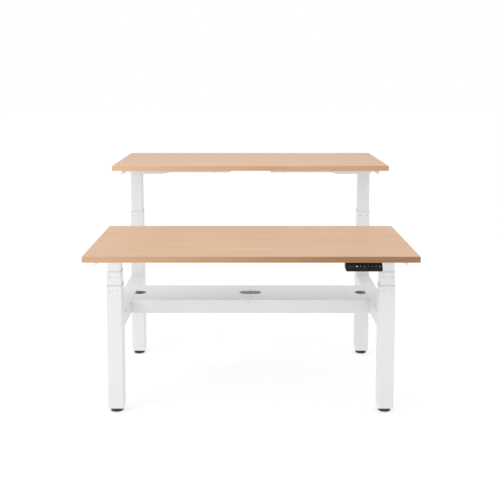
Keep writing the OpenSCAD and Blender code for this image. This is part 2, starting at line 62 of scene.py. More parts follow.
camera_lens = bpy.data.cameras.new("camera")
camera_lens.sensor_width = SENSOR
camera_lens.lens = LENS
camera_lens.shift_x, camera_lens.shift_y = CAMERA_SHIFT
camera = bpy.data.objects.new("camera", camera_lens)
camera.location = CAMERA_PLACE
camera.rotation_euler = (math.radians(90 - CAMERA_PITCH), 0, 0)
bpy.context.scene.collection.objects.link(camera)
bpy.context.scene.camera = camera


# ---- Finishes ----

class Value:
    """A shader socket that takes part in sums. Each operation adds its Math node."""

    def __init__(self, finish, socket):
        self.finish, self.socket = finish, socket

    def maths(self, operation, *terms):
        numbers = dict(enumerate(terms))
        return self.finish.node("ShaderNodeMath", {"operation": operation}, numbers)

    def __add__(self, other):
        return self.maths("ADD", self, other)

    def __sub__(self, other):
        return self.maths("SUBTRACT", self, other)

    def __rsub__(self, other):
        return self.maths("SUBTRACT", other, self)

    def __mul__(self, other):
        return self.maths("MULTIPLY", self, other)

    __radd__, __rmul__ = __add__, __mul__


class Finish:
    """One material. Numbers that are the same all over go straight on the shader."""

    def __init__(self, name, **uniform):
        self.material = bpy.data.materials.new(name)
        self.material.use_nodes = True
        self.tree = self.material.node_tree
        self.shader = self.tree.nodes["Principled BSDF"]
        for socket, number in uniform.items():
            self.shader.inputs[socket.replace("_", " ")].default_value = number

    def node(self, kind, settings=(), sockets=(), out=0):
        """Adds a node: its settings first, then a number or a link for each socket named."""
        node = self.tree.nodes.new(kind)
        for key, setting in dict(settings).items():
            setattr(node, key, setting)
        for key, entry in dict(sockets).items():
            if isinstance(entry, Value):
                self.tree.links.new(entry.socket, node.inputs[key])
            else:
                node.inputs[key].default_value = entry
        return Value(self, node.outputs[out])

    def set(self, socket, entry):
        self.tree.links.new(entry.socket, self.shader.inputs[socket])

    def place(self, stretch=(1, 1, 1), turn=(0, 0, 0)):
        """Object coordinates, stretched so that a pattern is long where stretch is small."""
        spot = self.node("ShaderNodeTexCoord", out="Object")
        return self.node("ShaderNodeMapping", sockets={"Vector": spot, "Scale": stretch, "Rotation": turn})

    def noise(self, place, scale, detail=2.0, rough=0.5, warp=0.0):
        return self.node("ShaderNodeTexNoise", sockets={
            "Vector": place, "Scale": scale, "Detail": detail, "Roughness": rough, "Distortion": warp})

    def fit(self, value, low, high, to_low=0.0, to_high=1.0):
        """The value's range from low to high, spread over the new range and held at its ends."""
        return self.node("ShaderNodeMapRange", {"clamp": True}, {
            "Value": value, "From Min": low, "From Max": high, "To Min": to_low, "To Max": to_high})

    def mix(self, share, first, second):
        first, second = [c if isinstance(c, Value) else (*c, 1) for c in (first, second)]
        return self.node("ShaderNodeMix", {"data_type": "RGBA"}, {0: share, 6: first, 7: second}, out=2)

    def bump(self, height, depth, strength=1.0):
        """Relief of the given depth in metres."""
        self.set("Normal", self.node("ShaderNodeBump", sockets={
            "Height": height, "Distance": depth, "Strength": strength}))


def moulded(name, shade, speckle, roughness, grain_mm, depth_mm, **uniform):
    """Moulded or coated surface: a fine even texture with faint cloudy changes of tone and gloss."""
    finish = Finish(name, **uniform)
    place = finish.place()
    cloud = finish.noise(place, 6.0, 3.0)
    grain = finish.noise(place, 1 / (grain_mm * MM), 2.0, 0.6)
    dark = tuple(c * (1 - speckle) for c in shade)
    tone = finish.fit(cloud * 0.55 + grain * 0.45, 0.38, 0.62)
    finish.set("Base Color", finish.mix(tone, dark, shade))
    finish.set("Roughness", finish.fit(cloud, 0.35, 0.65, roughness - 0.04, roughness + 0.04))
    finish.bump(grain, depth_mm * MM, 0.6)
    return finish.material


def metal(name, shade, roughness, stretch, mottle=0.15, **uniform):
    """Bare or plated metal with fine marks that run along one direction."""
    finish = Finish(name, Metallic=1.0, **uniform)
    marks = finish.noise(finish.place(stretch), 900.0, 4.0, 0.6)
    cloud = finish.noise(finish.place(), 40.0, 3.0)
    dark = tuple(c * (1 - mottle) for c in shade)
    tone = finish.fit(marks * 0.5 + cloud * 0.5, 0.35, 0.65)
    finish.set("Base Color", finish.mix(tone, dark, shade))
    finish.set("Roughness", finish.fit(marks, 0.3, 0.7, roughness - 0.08, roughness + 0.08))
    finish.bump(marks, 0.02 * MM, 0.4)
    return finish.material


def beech(name, pale, warm, brown, turn=(0, 0, 0), roughness=0.42, painted_shade_tone=None, reach=0.75):
    """Steamed beech: straight fine grain, soft broad bands and short dark flecks along the grain.
    Painted shade: from the left end the band's colour darkens towards a given deeper tone, standing in for light
    that falls from the left, and reach is where it gets there."""
    finish = Finish(name)
    board = finish.place((1.0, 9.0, 9.0), turn)
    bands = finish.noise(board, 1.6, 3.0, 0.55, 0.6)
    streaks = finish.noise(finish.place((1.0, 42.0, 42.0), turn), 5.0, 5.0, 0.62, 0.25)
    pores = finish.noise(finish.place((1.0, 16.0, 16.0), turn), 95.0, 2.0, 0.5)
    fibre = finish.noise(finish.place((1.0, 30.0, 30.0), turn), 40.0, 3.0, 0.6)
    tone = finish.fit(bands * 0.55 + streaks * 0.45, 0.36, 0.64)
    flecks = finish.fit(pores, 0.60, 0.70) * finish.fit(streaks, 0.35, 0.60)
    timber = finish.mix(tone, warm, pale)
    fine = finish.fit(fibre, 0.35, 0.65, 0.0, 0.30)
    timber = finish.mix(fine, timber, warm)
    # Painted shade: the colour darkens from left to right along the bench towards the given tone, standing in for
    # light that falls from the left.
    if painted_shade_tone:
        across_bench = finish.node("ShaderNodeSeparateXYZ", sockets={"Vector": finish.place()})
        painted_shade_ramp = across_bench + (streaks - 0.5) * 0.5
        grain = finish.mix(tone, tuple(0.84 * c for c in painted_shade_tone), tuple(1.14 * c for c in painted_shade_tone))
        timber = finish.mix(finish.fit(painted_shade_ramp, -0.6, reach, 0.0, 0.94), timber, grain)
    finish.set("Base Color", finish.mix(flecks * 0.42, timber, brown))
    finish.set("Roughness", finish.fit(fibre, 0.3, 0.7, roughness - 0.05, roughness + 0.06))
    finish.bump(fibre * 0.6 - flecks * 0.4, 0.03 * MM, 0.5)
    return finish.material


WHITE = (0.795, 0.797, 0.80)
TOP_TONES = ((0.705, 0.455, 0.276), (0.62, 0.375, 0.218), (0.42, 0.225, 0.12))
EDGE_TONES = ((0.68, 0.44, 0.27), (0.60, 0.375, 0.22), (0.32, 0.15, 0.065))
PALE_EDGE_TONES = ((0.78, 0.53, 0.34), (0.70, 0.455, 0.28), (0.45, 0.25, 0.13))
QUARTER_TURN = (0, 0, math.radians(90))

FINISHES = {
    "white_steel": moulded("white powder coat", WHITE, 0.03, 0.46, 0.45, 0.03),
    "white_plastic": moulded("white moulded plastic", (0.80, 0.80, 0.80), 0.02, 0.40, 0.9, 0.02),
    "beech_top": beech("beech laminate", *TOP_TONES),
    # The edge bands carry painted shade that darkens them towards the right; the back band is paler than the front
    # band.
    "beech_edge": beech("beech edge band", *EDGE_TONES, roughness=0.48,
                        painted_shade_tone=(0.325, 0.155, 0.063), reach=0.35),
    "beech_pale_edge": beech("pale beech edge band", *PALE_EDGE_TONES, roughness=0.48,
                             painted_shade_tone=(0.55, 0.335, 0.18)),
    "beech_end": beech("beech end band", *EDGE_TONES, turn=QUARTER_TURN, roughness=0.48),
    "black_plastic": moulded("black moulded plastic", (0.012, 0.012, 0.013), 0.25, 0.50, 0.5, 0.05,
                             Specular_IOR_Level=0.22),
    "button_rubber": moulded("button rubber", (0.010, 0.010, 0.011), 0.2, 0.62, 0.3, 0.02,
                             Specular_IOR_Level=0.2),
    "display_black": moulded("tinted window", (0.008, 0.009, 0.011), 0.1, 0.10, 1.5, 0.001, Coat_Weight=0.6),
    "glide_plastic": moulded("glide plastic", (0.40, 0.40, 0.41), 0.10, 0.45, 0.6, 0.02),
    "foot_rubber": moulded("foot pad", (0.050, 0.050, 0.052), 0.2, 0.60, 0.5, 0.05),
    "box_plastic": moulded("housing plastic", (0.035, 0.035, 0.037), 0.2, 0.48, 0.6, 0.05),
    "screw_steel": metal("zinc plate", (0.62, 0.63, 0.65), 0.32, (1, 1, 1)),
    "drive_steel": metal("greased steel", (0.42, 0.42, 0.43), 0.30, (1, 1, 0.1), 0.25),
    "motor_metal": metal("cast housing", (0.30, 0.31, 0.32), 0.48, (1, 1, 1), 0.2),
    "nut_bronze": metal("turned bronze", (0.55, 0.37, 0.15), 0.34, (0.3, 0.3, 1)),
    "mark_white": moulded("printed marks", (0.36, 0.37, 0.38), 0.05, 0.55, 0.3, 0.005),
}


def glow(name, shade, power):
    """Small lamp: a glowing face with a fine speckle in its tone."""
    finish = Finish(name, Roughness=0.2, Emission_Strength=power)
    flicker = finish.noise(finish.place(), 800.0, 2.0)
    dim = tuple(c * 0.8 for c in shade)
    finish.set("Base Color", finish.mix(flicker, dim, shade))
    finish.set("Emission Color", finish.mix(flicker, dim, shade))
    return finish.material


FINISHES["lamp"] = glow("status lamp", (0.9, 0.95, 1.0), 2.6)


# ---- Modelling ----

def deselect():
    bpy.ops.object.select_all(action="DESELECT")


def grasp(*pieces):
    """Selects just these pieces; the first is the active one."""
    deselect()
    for piece in pieces:
        piece.select_set(True)
    bpy.context.view_layer.objects.active = pieces[0]


def settle(piece):
    """Puts the piece's place into its mesh, with its object at the origin."""
    grasp(piece)
    bpy.ops.object.transform_apply(location=True, rotation=True, scale=True)
    return piece


def block(name, low, high):
    """Box between two corners, to be shaped further."""
    low, high = Vector(low), Vector(high)
    deselect()
    bpy.ops.mesh.primitive_cube_add(size=1, location=(low + high) / 2, scale=high - low)
    piece = bpy.context.object
    piece.name = piece.data.name = name
    return settle(piece)


def rod(name, middle, radius, length, sides=32, axis=Z):
    """Cylinder along an axis, to be shaped further."""
    turn = {X: (0, math.pi / 2, 0), Y: (-math.pi / 2, 0, 0), Z: (0, 0, 0)}[axis]
    deselect()
    bpy.ops.mesh.primitive_cylinder_add(
        vertices=sides, radius=radius, depth=length, location=middle, rotation=turn)
    piece = bpy.context.object
    piece.name = piece.data.name = name
    return settle(piece)


def edit(piece):
    grasp(piece)
    bpy.ops.object.mode_set(mode="EDIT")


def done():
    bpy.ops.object.mode_set(mode="OBJECT")


def pick(kind, test):
    """In edit mode, selects the elements of one kind that pass the test."""
    bpy.ops.mesh.select_mode(type=kind)
    bpy.ops.mesh.select_all(action="DESELECT")
    mesh = bmesh.from_edit_mesh(bpy.context.object.data)
    for element in {"VERT": mesh.verts, "EDGE": mesh.edges, "FACE": mesh.faces}[kind]:
        if test(element):
            element.select_set(True)
    mesh.select_flush_mode()
    bmesh.update_edit_mesh(bpy.context.object.data)


def near(a, b, gap=1e-5):
    return abs(a - b) < gap


def middle(edge):
    return (edge.verts[0].co + edge.verts[1].co) / 2


def runs(edge, axis):
    """True for a straight edge along an axis."""
    span = edge.verts[1].co - edge.verts[0].co
    return abs(span[axis]) > 0.999 * span.length


def faces_along(axis):
    return lambda face: abs(face.normal[axis]) > 0.999


def round_edges(piece, test, radius, segments=4):
    edit(piece)
    pick("EDGE", test)
    bpy.ops.mesh.bevel(offset=radius, offset_type="OFFSET", segments=segments, affect="EDGES")
    done()
    return piece


def soften(piece, width, segments=2, angle=30):
    """Breaks the sharp edges that are left."""
    grasp(piece)
    bpy.ops.object.modifier_add(type="BEVEL")
    bevel = piece.modifiers[-1]
    bevel.width, bevel.segments = width, segments
    bevel.limit_method, bevel.angle_limit = "ANGLE", math.radians(angle)
    bevel.miter_outer = "MITER_ARC"
    bpy.ops.object.modifier_apply(modifier=bevel.name)
    return piece


def smooth(piece):
    grasp(piece)
    bpy.ops.object.shade_smooth_by_angle(angle=math.radians(35))
    bpy.ops.object.modifier_add(type="WEIGHTED_NORMAL")
    piece.modifiers[-1].keep_sharp = True
    bpy.ops.object.modifier_apply(modifier=piece.modifiers[-1].name)
    return piece


def open_through(piece, wall, axis=Z):
    """Opens a bar from end to end, leaving a wall round the hole."""
    edit(piece)
    pick("FACE", faces_along(axis))
    bpy.ops.mesh.inset(thickness=wall, use_even_offset=True)
    bpy.ops.mesh.bridge_edge_loops()
    done()
    return piece


def cut(piece, *tools, join=False):
    """Cuts the tools out of the piece, or joins them to it, and clears them away."""
    for tool in tools:
        grasp(piece)
        bpy.ops.object.modifier_add(type="BOOLEAN")
        step = piece.modifiers[-1]
        step.operation, step.object, step.solver = "UNION" if join else "DIFFERENCE", tool, "EXACT"
        bpy.ops.object.modifier_apply(modifier=step.name)
        bpy.data.objects.remove(tool)
    return piece


def copy_of(piece, name, move=(0, 0, 0), turn=0.0):
    """Copy with its own mesh, turned about the vertical through the origin and then moved."""
    grasp(piece)
    bpy.ops.object.duplicate(linked=False)
    twin = bpy.context.object
    twin.name = twin.data.name = name
    twin.rotation_euler = (0, 0, turn)
    twin.location = move
    return settle(twin)


def joined(name, *pieces):
    grasp(*pieces)
    bpy.ops.object.join()
    piece = bpy.context.object
    piece.name = piece.data.name = name
    return settle(piece)


def split_solids(node):
    """Corners of each solid of a CAD node, from left to right and front to back."""
    grasp(frame["nodes"][node])
    bpy.ops.object.duplicate(linked=False)
    spare = bpy.context.object
    spare.parent = None
    bpy.ops.object.mode_set(mode="EDIT")
    bpy.ops.mesh.select_all(action="SELECT")
    bpy.ops.mesh.remove_doubles(threshold=1e-6)
    bpy.ops.mesh.separate(type="LOOSE")
    done()
    found = []
    for part in list(bpy.context.selected_objects):
        spots = [vertex.co for vertex in part.data.vertices]
        found.append(tuple(Vector(end(spot[axis] for spot in spots) for axis in (X, Y, Z))
                           for end in (min, max)))
        bpy.data.objects.remove(part)
    return sorted(found, key=lambda corners: tuple(round(c, 4) for c in corners[0] + corners[1]))


SOLIDS = {node: split_solids(node) for node in (
    "end_beams", "foot_caps", "frame_screws", "front_middle_tubes", "front_inner_tubes",
    "front_column_heads", "front_side_arms", "front_crossbar_sleeves", "front_screws")}


def mid(corners):
    return (corners[0] + corners[1]) / 2


COLUMN_X = mid(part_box("front_left_outer_tube")).x

# How much higher the back desk's pieces stand than the front desk's, by the body they ride on
LEVEL = {
    "base": 0.0, "foot": 0.0,
    "middle": mid(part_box("back_middle_tubes")).z - mid(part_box("front_middle_tubes")).z,
    "top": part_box("back_desktop")[0].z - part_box("front_desktop")[0].z,
}


def put(piece, body, finish, slot, *nodes):
    """Gives a piece its finish and puts it on its CAD body."""
    piece.data.materials.clear()
    piece.data.materials.append(FINISHES[finish])
    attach(piece, body)
    if nodes:
        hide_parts(*nodes)


def twin_name(name):
    """The name of the same thing on the other desk. Its first two words say where a thing is."""
    swap = {"front": "back", "left": "right", "right": "left"}
    words = name.split("_")
    return "_".join([swap.get(word, word) for word in words[:2]] + words[2:])


def put_on_both(piece, body, finish, slot, *nodes):
    """Puts a finished front piece on its body, and its copy, turned half round, on the back desk's."""
    level = next((LEVEL[part] for part in LEVEL if part in body), LEVEL["top"])
    twin = copy_of(piece, twin_name(piece.name), (0, 0, level), math.pi)
    put(piece, body, finish, slot, *nodes)
    put(twin, twin_name(body), finish, slot, *[twin_name(node) for node in nodes])


def put_on_all_four(piece, body, finish, slot, node):
    """Puts a piece of the front left column on its body, and its copies on the other three columns."""
    right_name, right_body, right_node = [name.replace("left", "right") for name in (piece.name, body, node)]
    right = copy_of(piece, right_name, (-2 * COLUMN_X, 0, 0))
    put_on_both(right, right_body, finish, slot, right_node)
    put_on_both(piece, body, finish, slot, node)


# ---- Tops ----

BAND = 2 * MM
BACKING = 0.8 * MM


def make_desktop():
    """Board with a pale backing sheet under it and a band glued round its four edges."""
    low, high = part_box("front_desktop")
    board = block("front_desktop_board", low + Vector((BAND, BAND, BACKING)), high - Vector((BAND, BAND, 0)))
    edit(board)
    pick("FACE", faces_along(Z))
    bpy.ops.mesh.inset(thickness=0.4 * MM)
    done()
    smooth(soften(board, 0.18 * MM))
    put_on_both(board, "front_top", "beech_top", "beech_top", "front_desktop")
    backing = block("front_desktop_backing", low + Vector((BAND, BAND, 0)),
                    Vector((high.x - BAND, high.y - BAND, low.z + BACKING)))
    smooth(soften(backing, 0.15 * MM))
    put_on_both(backing, "front_top", "white_plastic", "white_plastic", "front_desktop")
    strips = {
        "front": ((low.x, low.y, low.z), (high.x, low.y + BAND, high.z)),
        "back": ((low.x, high.y - BAND, low.z), (high.x, high.y, high.z)),
        "left": ((low.x, low.y + BAND, low.z), (low.x + BAND, high.y - BAND, high.z)),
        "right": ((high.x - BAND, low.y + BAND, low.z), (high.x, high.y - BAND, high.z)),
    }
    for side, (corner, far) in strips.items():
        strip = block(f"front_desktop_{side}_band", corner, far)
        axis = X if side in ("front", "back") else Y
        outer = {"front": low.y, "back": high.y, "left": low.x, "right": high.x}[side]
        round_edges(strip, lambda e: runs(e, axis) and near(middle(e)[1 - axis], outer), 0.9 * MM, 4)
        smooth(soften(strip, 0.15 * MM))
        finish = {"front": "beech_edge", "back": "beech_pale_edge"}.get(side, "beech_end")
        put_on_both(strip, "front_top", finish, "beech_top", "front_desktop")


# ---- Columns ----

WALL = 1.5 * MM
TUBE_R = 4 * MM
PIN_X, PIN_DROP = 18.5 * MM, 23 * MM
PIN_R, PIN_HOLE_R = 2.2 * MM, 2.5 * MM


def round_tube(name, low, high, radius, wall):
    piece = block(name, low, high)
    round_edges(piece, lambda e: runs(e, Z), radius, 10)
    return open_through(piece, wall)


def make_pins(tube, name):
    """Moulded studs that show in the tube's front and back walls."""
    sunk, length = 0.35 * MM, 0.5 * MM
    studs = []
    for side in (-1, 1):
        for wall_y in (tube[0].y + sunk, tube[1].y - sunk):
            spot = Vector((COLUMN_X + side * PIN_X, wall_y, tube[1].z - PIN_DROP))
            stud = rod("stud", spot, PIN_R, length, 24, Y)
            edit(stud)
            pick("FACE", faces_along(Y))
            bpy.ops.mesh.inset(thickness=0.9 * MM)
            bpy.ops.transform.resize(value=(1, 0.7, 1))
            done()
            studs.append(stud)
    return smooth(joined(name, *studs))


def make_drilled_tube(tube, name):
    """Tube with holes for the pins through its front and back walls."""
    piece = round_tube(name, *tube, TUBE_R, WALL)
    drills = []
    for side in (-1, 1):
        spot = Vector((COLUMN_X + side * PIN_X, mid(tube).y, tube[1].z - PIN_DROP))
        drills.append(rod("drill", spot, PIN_HOLE_R, 2 * (tube[1].y - tube[0].y), 24, Y))
    return smooth(soften(cut(piece, *drills), 0.3 * MM))


def make_collar(tube, name):
    """Sliding collar inside the tube's mouth, with a thin rim on top."""
    low, high = tube
    sleeve_h, sleeve_t, rise = 24 * MM, 0.7 * MM, 0.1 * MM
    sleeve = round_tube(name, (low.x + WALL, low.y + WALL, high.z - sleeve_h),
                        (high.x - WALL, high.y - WALL, high.z + rise), TUBE_R - WALL, sleeve_t)
    inset, rim_h, lap = 0.25 * MM, 0.6 * MM, 0.45 * MM
    rim = round_tube("rim", (low.x + inset, low.y + inset, high.z),
                     (high.x - inset, high.y - inset, high.z + rim_h), TUBE_R - inset, WALL + lap)
    return smooth(soften(joined(name, sleeve, rim), 0.12 * MM, 1, 50))


def make_columns():
    """Telescopic columns: three tubes, their glide collars and pins, and the cap at the foot."""
    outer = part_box("front_left_outer_tube")
    middle_tube = SOLIDS["front_middle_tubes"][0]
    inner_tube = round_tube("front_left_inner_tube", *SOLIDS["front_inner_tubes"][0], TUBE_R, WALL)
    smooth(soften(inner_tube, 0.3 * MM))
    for piece, body, node, finish in (
            (make_drilled_tube(outer, "front_left_outer_tube_shell"), "base", "front_left_outer_tube",
             "white_steel"),
            (make_collar(outer, "front_left_outer_glide"), "base", "outer_glides", "glide_plastic"),
            (make_pins(outer, "front_left_outer_pins"), "base", "outer_glides", "glide_plastic"),
            (make_foot_cap(outer, SOLIDS["foot_caps"][0]), "base", "foot_caps", "white_plastic"),
            (make_drilled_tube(middle_tube, "front_left_middle_tube"), "front_middle", "front_middle_tubes",
             "white_steel"),
            (make_collar(middle_tube, "front_left_middle_glide"), "front_middle", "front_middle_glides",
             "glide_plastic"),
            (make_pins(middle_tube, "front_left_middle_pins"), "front_middle", "front_middle_glides",
             "glide_plastic"),
            (inner_tube, "front_top", "front_inner_tubes", "white_steel")):
        put_on_all_four(piece, body, finish, finish, node)


def make_foot_cap(outer, corners):
    """Moulded cap that closes the tube: a shell with a boss for the levelling screw and a fine joint line."""
    low, high = corners
    centre = mid(corners)
    seam, joint, rim_t = outer[0].z, 0.25 * MM, 3 * MM
    body = block("front_left_foot_cap", low, (high.x, high.y, seam - joint))
    round_edges(body, lambda e: runs(e, Z), TUBE_R, 10)
    edit(body)
    pick("FACE", lambda f: f.normal.z < -0.999)
    bpy.ops.mesh.inset(thickness=rim_t, use_even_offset=True)
    bpy.ops.mesh.extrude_region_move(TRANSFORM_OT_translate={"value": (0, 0, rim_t)})
    done()

    def on_outline(spot):
        """True at the cap's outer sides, which lie half its width or depth from its middle."""
        across_x = abs(spot.x - centre.x) / (high.x - low.x)
        across_y = abs(spot.y - centre.y) / (high.y - low.y)
        return max(across_x, across_y) > 0.48

    round_edges(body, lambda e: near(middle(e).z, low.z) and e.calc_face_angle(0) > 1.2
                and on_outline(middle(e)), 1.5 * MM, 4)
    plug = round_tube("plug", (low.x + WALL, low.y + WALL, seam - 2 * joint),
                      (high.x - WALL, high.y - WALL, high.z), TUBE_R - WALL, 2.5 * MM)
    boss_r, boss_h, bore_r, bore_h = 11 * MM, 4.98 * MM, 5.3 * MM, 60 * MM
    boss = rod("boss", (centre.x, centre.y, low.z + 2.5 * MM), boss_r, boss_h, 40)
    for part in (body, boss):
        cut(part, rod("drill", centre, bore_r, bore_h, 40))
    return smooth(soften(joined("front_left_foot_cap", body, plug, boss), 0.35 * MM, 2, 40))


def make_feet():
    """Levelling feet: a moulded pad with a hexagon round a threaded stud."""
    low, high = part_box("front_left_foot")
    centre = mid((low, high))
    pad_r, pad_h = (high.x - low.x) / 2, 11 * MM
    neck_top = 20.7 * MM
    pad = rod("pad", (centre.x, centre.y, low.z + pad_h / 2), pad_r, pad_h, 64)
    edit(pad)
    pick("FACE", lambda f: f.normal.z > 0.999)
    bpy.ops.mesh.inset(thickness=6 * MM)
    bpy.ops.mesh.inset(thickness=9 * MM)
    bpy.ops.mesh.extrude_region_move(TRANSFORM_OT_translate={"value": (0, 0, 1.2 * MM)})
    pick("FACE", lambda f: f.normal.z < -0.999)
    bpy.ops.mesh.inset(thickness=3 * MM)
    bpy.ops.mesh.extrude_region_move(TRANSFORM_OT_translate={"value": (0, 0, 0.8 * MM)})
    done()
    round_edges(pad, lambda e: near(middle(e).z, low.z + pad_h) and
                near((middle(e) - centre).to_2d().length, pad_r, 0.4 * MM), 2 * MM, 4)
    soften(pad, 0.3 * MM)
    hexagon_r, hexagon_h = 9.5 * MM, neck_top - pad_h - 0.3 * MM
    hexagon = rod("hexagon", (centre.x, centre.y, low.z + pad_h + 1.7 * MM), hexagon_r, hexagon_h, 6)
    soften(hexagon, 0.4 * MM)
    pad = smooth(joined("front_left_foot_pad", pad, hexagon))

    # One turn of thread, wound up the stud
    stud_r, thread_deep, pitch = 4.75 * MM, 0.8 * MM, 1.5 * MM
    weld = 0.001 * MM
    deselect()
    bpy.ops.mesh.primitive_plane_add(size=1)
    stud = bpy.context.object
    stud.name = stud.data.name = "front_left_foot_stud"
    edit(stud)
    bpy.ops.mesh.delete(type="ONLY_FACE")
    pick("VERT", lambda v: v.co.x < 0)
    bpy.ops.mesh.delete(type="VERT")
    pick("EDGE", lambda e: True)
    bpy.ops.mesh.subdivide(number_cuts=1)
    mesh = bmesh.from_edit_mesh(stud.data)
    for vertex in mesh.verts:
        crest = near(vertex.co.y, 0)
        vertex.co = (stud_r if crest else stud_r - thread_deep, 0, vertex.co.y * pitch)
    bmesh.update_edit_mesh(stud.data)
    done()
    bpy.ops.object.modifier_add(type="SCREW")
    screw = stud.modifiers[-1]
    screw.screw_offset = pitch
    screw.iterations = int((high.z - neck_top) / pitch) - 1
    screw.steps = screw.render_steps = 28
    screw.use_merge_vertices, screw.merge_threshold = True, weld
    screw.use_normal_calculate = True
    bpy.ops.object.modifier_apply(modifier=screw.name)
    stud.location = (centre.x, centre.y, neck_top)
    settle(stud)
    edit(stud)
    bpy.ops.mesh.select_all(action="SELECT")
    bpy.ops.mesh.remove_doubles(threshold=weld)
    pick("EDGE", lambda e: len(e.link_faces) == 1)
    bpy.ops.mesh.edge_face_add()
    bpy.ops.mesh.select_all(action="SELECT")
    bpy.ops.mesh.normals_make_consistent(inside=False)
    done()
    grasp(stud)
    bpy.ops.object.shade_smooth_by_angle(angle=math.radians(30))
    put_on_all_four(pad, "front_left_foot", "foot_rubber", "foot_rubber", "front_left_foot")
    put_on_all_four(stud, "front_left_foot", "screw_steel", "screw_steel", "front_left_foot")


# ---- Base between the columns ----

def screw_head(name, middle_of_head, radius, height, axis, side):
    """Low round head with a hexagon socket, facing the given side of an axis."""
    head = rod(name, middle_of_head, radius, height, 36, axis)
    face_at = middle_of_head[axis] + side * height / 2
    edit(head)
    pick("FACE", lambda f: f.normal[axis] * side > 0.999)
    bpy.ops.mesh.inset(thickness=radius * 0.25)
    shift = [0, 0, 0]
    shift[axis] = side * height * 0.12
    bpy.ops.transform.translate(value=shift)
    done()
    spot = Vector(middle_of_head)
    spot[axis] = face_at + side * height * 0.1
    socket = rod("socket", spot, radius * 0.42, height * 1.3, 6, axis)
    cut(head, socket)
    return smooth(soften(head, radius * 0.05, 2, 40))


def make_base():
    """End beams, cable trough, lids and their screws."""
    for index, side in enumerate(("left", "right")):
        low, high = SOLIDS["end_beams"][index]
        beam = block(f"{side}_end_beam", low, high)
        round_edges(beam, lambda e: runs(e, Y), 3 * MM, 5)
        open_through(beam, 2 * MM, Y)
        put(smooth(soften(beam, 0.25 * MM)), "base", "white_steel", "white_steel", "end_beams")

    low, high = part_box("cable_trough")
    sheet = 1.5 * MM
    trough = block("cable_trough_sheet", low, high)
    edit(trough)
    pick("FACE", lambda f: f.normal.z > 0.999)
    bpy.ops.mesh.inset(thickness=sheet)
    bpy.ops.mesh.extrude_region_move(TRANSFORM_OT_translate={"value": (0, 0, low.z - high.z + sheet)})
    done()
    round_edges(trough, lambda e: runs(e, X) and near(middle(e).z, low.z), 2.2 * MM, 5)
    slot_l, slot_w, slot_r, slot_y, rows = 140 * MM, 45 * MM, 10 * MM, 60 * MM, 6
    pitch = (high.x - low.x - slot_l / 2) / rows
    slots = []
    for number in range(rows):
        for side in (-1, 1):
            spot = Vector(((number - (rows - 1) / 2) * pitch, side * slot_y, low.z))
            reach = Vector((slot_l / 2, slot_w / 2, 10 * MM))
            slot = block("slot", spot - reach, spot + reach)
            slots.append(round_edges(slot, lambda e: runs(e, Z), slot_r, 5))
    cut(trough, *slots)
    put(smooth(soften(trough, 0.3 * MM)), "base", "white_steel", "white_steel", "cable_trough")

    for side in ("left", "right"):
        make_lid(side)

    for number, corners in enumerate(SOLIDS["frame_screws"]):
        span = corners[1] - corners[0]
        axis = X if span.x > span.y else Y
        wide = max(span[1 - axis], span.z) / 2
        outward = -1 if mid(corners)[axis] < 0 else 1
        if axis == X:  # the head is inside the trough and the screw points at the beam
            outward = -outward
        head_h = 2.2 * MM
        spot = mid(corners)
        spot[axis] = corners[1 if outward > 0 else 0][axis] - outward * (head_h / 2 + 0.3 * MM)
        head = screw_head(f"frame_screw_{number + 1}_head", spot, wide * 0.96, head_h * 0.9, axis, outward)
        shank_spot = mid(corners)
        shank_spot[axis] -= outward * head_h / 2
        shank = rod("shank", shank_spot, 1.9 * MM, span[axis] - head_h, 24, axis)
        soften(shank, 0.3 * MM)
        screw = joined(f"frame_screw_{number + 1}", head, shank)
        put(smooth(screw), "base", "screw_steel", "screw_steel", "frame_screws")


def make_lid(side):
    """Folded lid with two skirts, half a cable port at each end and slots that drop over the screws."""
    node = f"{side}_lid"
    low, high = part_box(node)
    sheet = 1.5 * MM
    lid = block(f"{side}_lid_sheet", low, high)
    round_edges(lid, lambda e: runs(e, X) and near(middle(e).z, high.z), 2.2 * MM, 5)
    past = 10 * MM
    cut(lid, block("hollow", (low.x - past, low.y + sheet, low.z - past),
                   (high.x + past, high.y - sheet, high.z - sheet)))
    port_w, port_l = 62 * MM, 55 * MM
    for end, inward in ((low.x, 1), (high.x, -1)):
        slot_end = end + inward * (port_l - port_w / 2)
        port = block("port", (min(end - inward * past, slot_end), -port_w / 2, high.z - 2 * past),
                     (max(end - inward * past, slot_end), port_w / 2, high.z + 2 * past))
        round_end = rod("round_end", (slot_end, 0, high.z), port_w / 2, 4 * past, 64)
        cut(lid, port, round_end)
    slot_r, trough_side = 2.3 * MM, 120 * MM
    for corners in SOLIDS["frame_screws"]:
        spot = mid(corners)
        if abs(spot.y) > trough_side and low.x < spot.x < high.x:
            y_low, y_high = low.y - sheet, low.y + 3 * sheet
            if spot.y > 0:
                y_low, y_high = high.y - 3 * sheet, high.y + sheet
            slot = block("slot", (spot.x - slot_r, y_low, low.z - past), (spot.x + slot_r, y_high, spot.z))
            slot_top = rod("slot_top", (spot.x, (y_low + y_high) / 2, spot.z), slot_r, y_high - y_low, 24, Y)
            cut(lid, slot, slot_top)
    put(smooth(soften(lid, 0.3 * MM)), f"{side}_lid", "white_steel", "white_steel", node)


# ---- Frame under the tops ----

